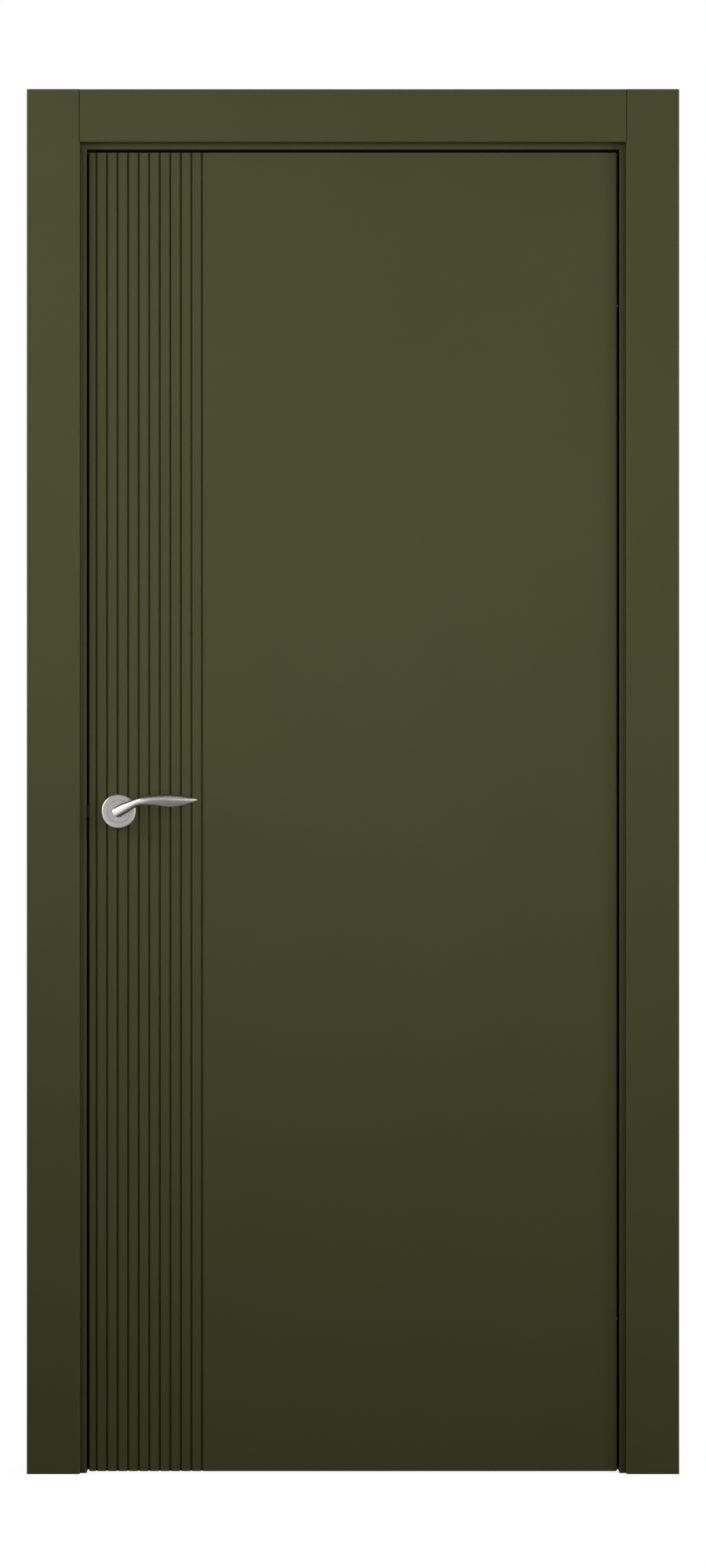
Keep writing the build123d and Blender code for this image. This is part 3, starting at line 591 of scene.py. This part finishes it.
def rose_profile():
    ring_in = ROSE_RING_RADIUS - ROSE_RING_WIDTH / 2
    ring_out = ROSE_RING_RADIUS + ROSE_RING_WIDTH / 2
    floor = ROSE_HEIGHT - ROSE_RING_DEPTH
    inside = ROSE_HEIGHT - ROSE_WALL
    points = [(ROSE_BORE, inside), (ROSE_BORE, ROSE_HEIGHT - ROSE_ARRIS)]
    points += [(ROSE_BORE + ROSE_ARRIS, ROSE_HEIGHT), (ring_in - ROSE_ARRIS, ROSE_HEIGHT)]
    points += [(ring_in, floor), (ring_out, floor)]
    points += [(ring_out + ROSE_ARRIS, ROSE_HEIGHT)]
    for step in range(ROSE_RIM_STEPS + 1):
        turn = math.radians(90) * step / ROSE_RIM_STEPS
        inward = ROSE_RIM * (1 - math.sin(turn))
        down = ROSE_RIM * (1 - math.cos(turn))
        points.append((ROSE_RADIUS - inward, ROSE_HEIGHT - down))
    points += [(ROSE_RADIUS, 0.0), (ROSE_RADIUS - ROSE_WALL, 0.0), (ROSE_RADIUS - ROSE_WALL, inside)]
    return points


# The profile is turned about the spindle, out from the leaf on the side given.
def turn_rose(node, side, finish):
    mesh = bmesh.new()
    ring = []
    for radius, height in rose_profile():
        ring.append(mesh.verts.new((SPINDLE_X + radius, side * (LEAF_FRONT + height), HANDLE_HEIGHT)))
    edges = [mesh.edges.new((a, b)) for a, b in zip(ring, ring[1:] + ring[:1])]
    bmesh.ops.spin(mesh, geom=ring + edges, cent=(SPINDLE_X, 0.0, HANDLE_HEIGHT), axis=(0.0, 1.0, 0.0),
                   angle=math.radians(360), steps=LATHE_STEPS)
    bmesh.ops.remove_doubles(mesh, verts=mesh.verts, dist=WELD_DISTANCE)
    bmesh.ops.recalc_face_normals(mesh, faces=mesh.faces)
    stands_for(finished_piece(node + "_turned", mesh, finish), node, "leaf")


# A solid that is kept as it is only gets its finish.
def paint_node(node, finish):
    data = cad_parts[node].data
    data.materials.clear()
    data.materials.append(finish)


# One countersunk screw with a cross recess, set on every point and turned along the point's aim
def screw_tree():
    tree = bpy.data.node_groups.new("countersunk_screws", "GeometryNodeTree")
    socket = tree.interface.new_socket
    socket("Places", in_out="INPUT", socket_type="NodeSocketGeometry")
    for name in ("Head Radius", "Head Height", "Radius", "Length", "Recess Width", "Recess Span",
                 "Recess Depth"):
        socket(name, in_out="INPUT", socket_type="NodeSocketFloat")
    socket("Finish", in_out="INPUT", socket_type="NodeSocketMaterial")
    socket("Screws", in_out="OUTPUT", socket_type="NodeSocketGeometry")
    link = tree.links.new
    given = tree.nodes.new("NodeGroupInput").outputs
    head = add_node(tree, "GeometryNodeMeshCone", Vertices=SCREW_SIDES)
    link(given["Head Radius"], head.inputs["Radius Bottom"])
    link(given["Radius"], head.inputs["Radius Top"])
    link(given["Head Height"], head.inputs["Depth"])
    shank = add_node(tree, "GeometryNodeMeshCylinder", Vertices=SCREW_SIDES)
    link(given["Radius"], shank.inputs["Radius"])
    link(given["Length"], shank.inputs["Depth"])
    half = tree.nodes.new("ShaderNodeMath")
    half.operation = "MULTIPLY"
    half.inputs[1].default_value = 0.5
    link(given["Length"], half.inputs[0])
    middle = tree.nodes.new("ShaderNodeCombineXYZ")
    link(half.outputs["Value"], middle.inputs["Z"])
    lowered = tree.nodes.new("GeometryNodeTransform")
    link(shank.outputs["Mesh"], lowered.inputs["Geometry"])
    link(middle.outputs["Vector"], lowered.inputs["Translation"])
    body = tree.nodes.new("GeometryNodeMeshBoolean")
    body.operation = "UNION"
    link(head.outputs["Mesh"], body.inputs["Mesh 2"])
    link(lowered.outputs["Geometry"], body.inputs["Mesh 2"])
    cut = tree.nodes.new("GeometryNodeMeshBoolean")
    cut.operation = "DIFFERENCE"
    link(body.outputs["Mesh"], cut.inputs["Mesh 1"])
    for first, second in (("Recess Width", "Recess Span"), ("Recess Span", "Recess Width")):
        size = tree.nodes.new("ShaderNodeCombineXYZ")
        link(given[first], size.inputs["X"])
        link(given[second], size.inputs["Y"])
        link(given["Recess Depth"], size.inputs["Z"])
        slot = tree.nodes.new("GeometryNodeMeshCube")
        link(size.outputs["Vector"], slot.inputs["Size"])
        link(slot.outputs["Mesh"], cut.inputs["Mesh 2"])
    aim = add_node(tree, "GeometryNodeInputNamedAttribute", Name="aim")
    aim.data_type = "FLOAT_VECTOR"
    turn = tree.nodes.new("FunctionNodeAlignRotationToVector")
    turn.axis = "Z"
    link(aim.outputs["Attribute"], turn.inputs["Vector"])
    copies = tree.nodes.new("GeometryNodeInstanceOnPoints")
    link(given["Places"], copies.inputs["Points"])
    link(cut.outputs["Mesh"], copies.inputs["Instance"])
    link(turn.outputs["Rotation"], copies.inputs["Rotation"])
    realize = tree.nodes.new("GeometryNodeRealizeInstances")
    link(copies.outputs["Instances"], realize.inputs["Geometry"])
    paint = tree.nodes.new("GeometryNodeSetMaterial")
    link(realize.outputs["Geometry"], paint.inputs["Geometry"])
    link(given["Finish"], paint.inputs["Material"])
    result = tree.nodes.new("NodeGroupOutput")
    link(paint.outputs["Geometry"], result.inputs["Screws"])
    return tree


def screw_group(tree, node, body, length, aimed_places, finish):
    data = bpy.data.meshes.new(node + "_drives")
    data.from_pydata([place for place, _ in aimed_places], [], [])
    aims = data.attributes.new("aim", "FLOAT_VECTOR", "POINT")
    for item, (_, aim) in zip(aims.data, aimed_places):
        item.vector = aim
    piece = add_object(node + "_drives", data)
    modifier = piece.modifiers.new("screws", "NODES")
    modifier.node_group = tree
    sizes = {"Head Radius": SCREW_HEAD_RADIUS, "Head Height": SCREW_HEAD_HEIGHT, "Radius": SCREW_RADIUS,
             "Length": length, "Recess Width": SCREW_RECESS_WIDTH, "Recess Span": SCREW_RECESS_SPAN,
             "Recess Depth": 2 * SCREW_RECESS_DEPTH, "Finish": finish}
    for item in tree.interface.items_tree:
        if item.name in sizes:
            modifier[item.identifier] = sizes[item.name]
    settle(piece)
    stands_for(piece, node, body)


def hinge_screw_places(face, aim):
    places = []
    for height in HINGE_HEIGHTS:
        for rise in (-HINGE_SCREW_RISE, HINGE_SCREW_RISE):
            places.append(((face, HINGE_SCREW_DEPTH, height + rise), aim))
    return places


def plate_screw_places(face, rise, aim):
    return [((face, 0.0, HANDLE_HEIGHT + side * rise), aim) for side in (-1, 1)]


def corner_screw_places():
    places = []
    for side in (-1, 1):
        for depth in CORNER_SCREW_DEPTHS:
            places.append(((side * FRAME_SIDE, depth, CORNER_SCREW_HEIGHT), (-side, 0, 0)))
    return places


def make_painted_pieces():
    enamel = olive_enamel()
    for body, nodes in PAINTED_PIECES.items():
        for node in nodes:
            dress(node, body, enamel)


def make_seals():
    rubber = seal_rubber()
    for node in SEALS:
        dress(node, "frame", rubber)


def make_hinges(steel):
    coat = hinge_coat()
    for level in ("upper", "lower"):
        dress(level + "_jamb_hinge_housing", "frame", coat, METAL_EDGE)
        dress(level + "_leaf_hinge_housing", "leaf", coat, METAL_EDGE)
        dress(level + "_jamb_hinge_arm", "jamb_arms", coat, METAL_EDGE)
        dress(level + "_leaf_hinge_arm", "leaf_arms", coat, METAL_EDGE)
    for node, body in HINGE_PINS.items():
        dress(node, body, steel, METAL_EDGE)


def make_latch(nylon):
    nickel = satin_nickel()
    dress("latch_forend", "leaf", nickel, METAL_EDGE)
    dress("strike_plate", "frame", nickel, METAL_EDGE)
    dress("latch_bolt", "latch", nylon, METAL_EDGE)
    dress("strike_box", "frame", nylon, METAL_EDGE)


def make_screws(steel):
    tree = screw_tree()
    in_jamb = hinge_screw_places(JAMB_FACE, (1, 0, 0))
    in_leaf = hinge_screw_places(LEAF_EDGE, (-1, 0, 0))
    in_strike = plate_screw_places(-JAMB_FACE, STRIKE_SCREW_RISE, (-1, 0, 0))
    in_forend = plate_screw_places(-LEAF_EDGE, FOREND_SCREW_RISE, (1, 0, 0))
    for node, body, length, places in (
        ("jamb_hinge_screws", "frame", HINGE_SCREW_LENGTH, in_jamb),
        ("leaf_hinge_screws", "leaf", HINGE_SCREW_LENGTH, in_leaf),
        ("strike_screws", "frame", PLATE_SCREW_LENGTH, in_strike),
        ("forend_screws", "leaf", PLATE_SCREW_LENGTH, in_forend),
        ("frame_corner_screws", "frame", CORNER_SCREW_LENGTH, corner_screw_places()),
    ):
        screw_group(tree, node, body, length, places, steel)


def make_handles():
    brushed = brushed_grip()
    turned = turned_nickel_painted_darker((SPINDLE_X, 0.0, HANDLE_HEIGHT))
    for name, side in (("front", -1), ("back", 1)):
        model_grip(name + "_lever", side, brushed)
        turn_rose(name + "_rose_cover", side, turned)


def make_hidden_nodes(steel, nylon):
    chipboard = core_chipboard()
    for nodes, finish in ((CHIPBOARD_NODES, chipboard), (NYLON_NODES, nylon), (STEEL_NODES, steel)):
        for node in nodes:
            paint_node(node, finish)


# The floor takes the shadow. To the camera its glow rises to white away from the door, and in metal it rises
# to the sides.
def make_floor():
    corners = [(x * FLOOR_REACH, y * FLOOR_REACH, 0.0) for x, y in ((-1, -1), (1, -1), (1, 1), (-1, 1))]
    data = bpy.data.meshes.new("floor")
    data.from_pydata(corners, [], [(0, 1, 2, 3)])
    material, tree, shader = new_finish("pale_floor", Roughness=FLOOR_ROUGHNESS, Specular_IOR_Level=0.0)
    shader.inputs["Base Color"].default_value = FLOOR_COLOUR
    shader.inputs["Emission Color"].default_value = WHITE
    rays = tree.nodes.new("ShaderNodeLightPath").outputs
    place = placed_pattern(tree)
    whitening = spread(tree, length_of(tree, place), FLOOR_GLOW, 1.0, *FLOOR_TURNS_WHITE)
    shown = calculate(tree, "MULTIPLY", clear_view(tree, rays), whitening)
    sideways = calculate(tree, "ABSOLUTE", axes_of(tree, place)["X"])
    shine = spread(tree, sideways, FLOOR_GLOW_IN_METAL, FLOOR_SIDE_GLOW_IN_METAL, *FLOOR_SIDES)
    glow = calculate(tree, "MULTIPLY_ADD", rays["Is Glossy Ray"], shine, shown)
    tree.links.new(glow, shader.inputs["Emission Strength"])
    data.materials.append(material)
    add_object("floor", data)


# Rays that go straight to the camera, or to it through clear glass
def clear_view(tree, rays):
    return calculate(tree, "MAXIMUM", rays["Is Camera Ray"], rays["Is Transmission Ray"])


def mix_levels(tree, factor, first):
    mix = tree.nodes.new("ShaderNodeMix")
    tree.links.new(factor, mix.inputs["Factor"])
    tree.links.new(first, mix.inputs["A"])
    return mix


# White to the camera. Metal sees a room, and paint takes a soft light from the sides.
def make_world():
    world = bpy.data.worlds.new("studio")
    bpy.context.scene.world = world
    world.use_nodes = True
    tree = world.node_tree
    background = tree.nodes["Background"]
    background.inputs["Color"].default_value = WHITE
    rays = tree.nodes.new("ShaderNodeLightPath").outputs
    direction = axes_of(tree, tree.nodes.new("ShaderNodeTexCoord").outputs["Generated"])
    sideways = calculate(tree, "ABSOLUTE", direction["X"])
    walls = spread(tree, direction["Y"], ROOM_FRONT, ROOM_BACK, *ROOM_FRONT_TO_BACK)
    ceiling = spread(tree, direction["Z"], 1.0, ROOM_CEILING, *ROOM_CEILING_RISE)
    sides = spread(tree, sideways, 0.0, ROOM_SIDE, *ROOM_SIDE_TURN)
    surround = spread(tree, sideways, 0.0, SIDE_SURROUND, start=0.0, end=1.0)
    in_metal = mix_levels(tree, rays["Is Glossy Ray"], surround)
    tree.links.new(calculate(tree, "MULTIPLY_ADD", walls, ceiling, sides), in_metal.inputs["B"])
    seen = mix_levels(tree, clear_view(tree, rays), in_metal.outputs["Result"])
    seen.inputs["B"].default_value = 1.0
    tree.links.new(seen.outputs["Result"], background.inputs["Strength"])


def make_lamp(name, place, aim, width, height, power, seen_in_metal):
    data = bpy.data.lights.new(name, "AREA")
    data.shape = "RECTANGLE"
    data.size = width
    data.size_y = height
    data.energy = power
    lamp = add_object(name, data)
    lamp.location = place
    lamp.rotation_euler = (Vector(aim) - Vector(place)).to_track_quat("-Z", "Y").to_euler()
    lamp.visible_glossy = seen_in_metal


def make_lights():
    for name, settings in LAMPS.items():
        make_lamp(name, *settings)


def make_camera():
    data = bpy.data.cameras.new("camera")
    data.lens = LENS
    data.sensor_width = SENSOR
    data.clip_end = FAR_END
    camera = add_object("camera", data)
    camera.location = (0.0, FRONT_PLANE - VIEW_HEIGHT * LENS / SENSOR, VIEW_MIDDLE)
    camera.rotation_euler = (math.radians(90), 0.0, 0.0)
    bpy.context.scene.camera = camera


bpy.context.scene.view_settings.view_transform = "Standard"
make_camera()
make_painted_pieces()
make_seals()
steel_finish = plated_steel()
nylon_finish = black_nylon()
make_hinges(steel_finish)
make_latch(nylon_finish)
make_screws(steel_finish)
make_handles()
make_hidden_nodes(steel_finish, nylon_finish)
make_floor()
make_world()
make_lights()
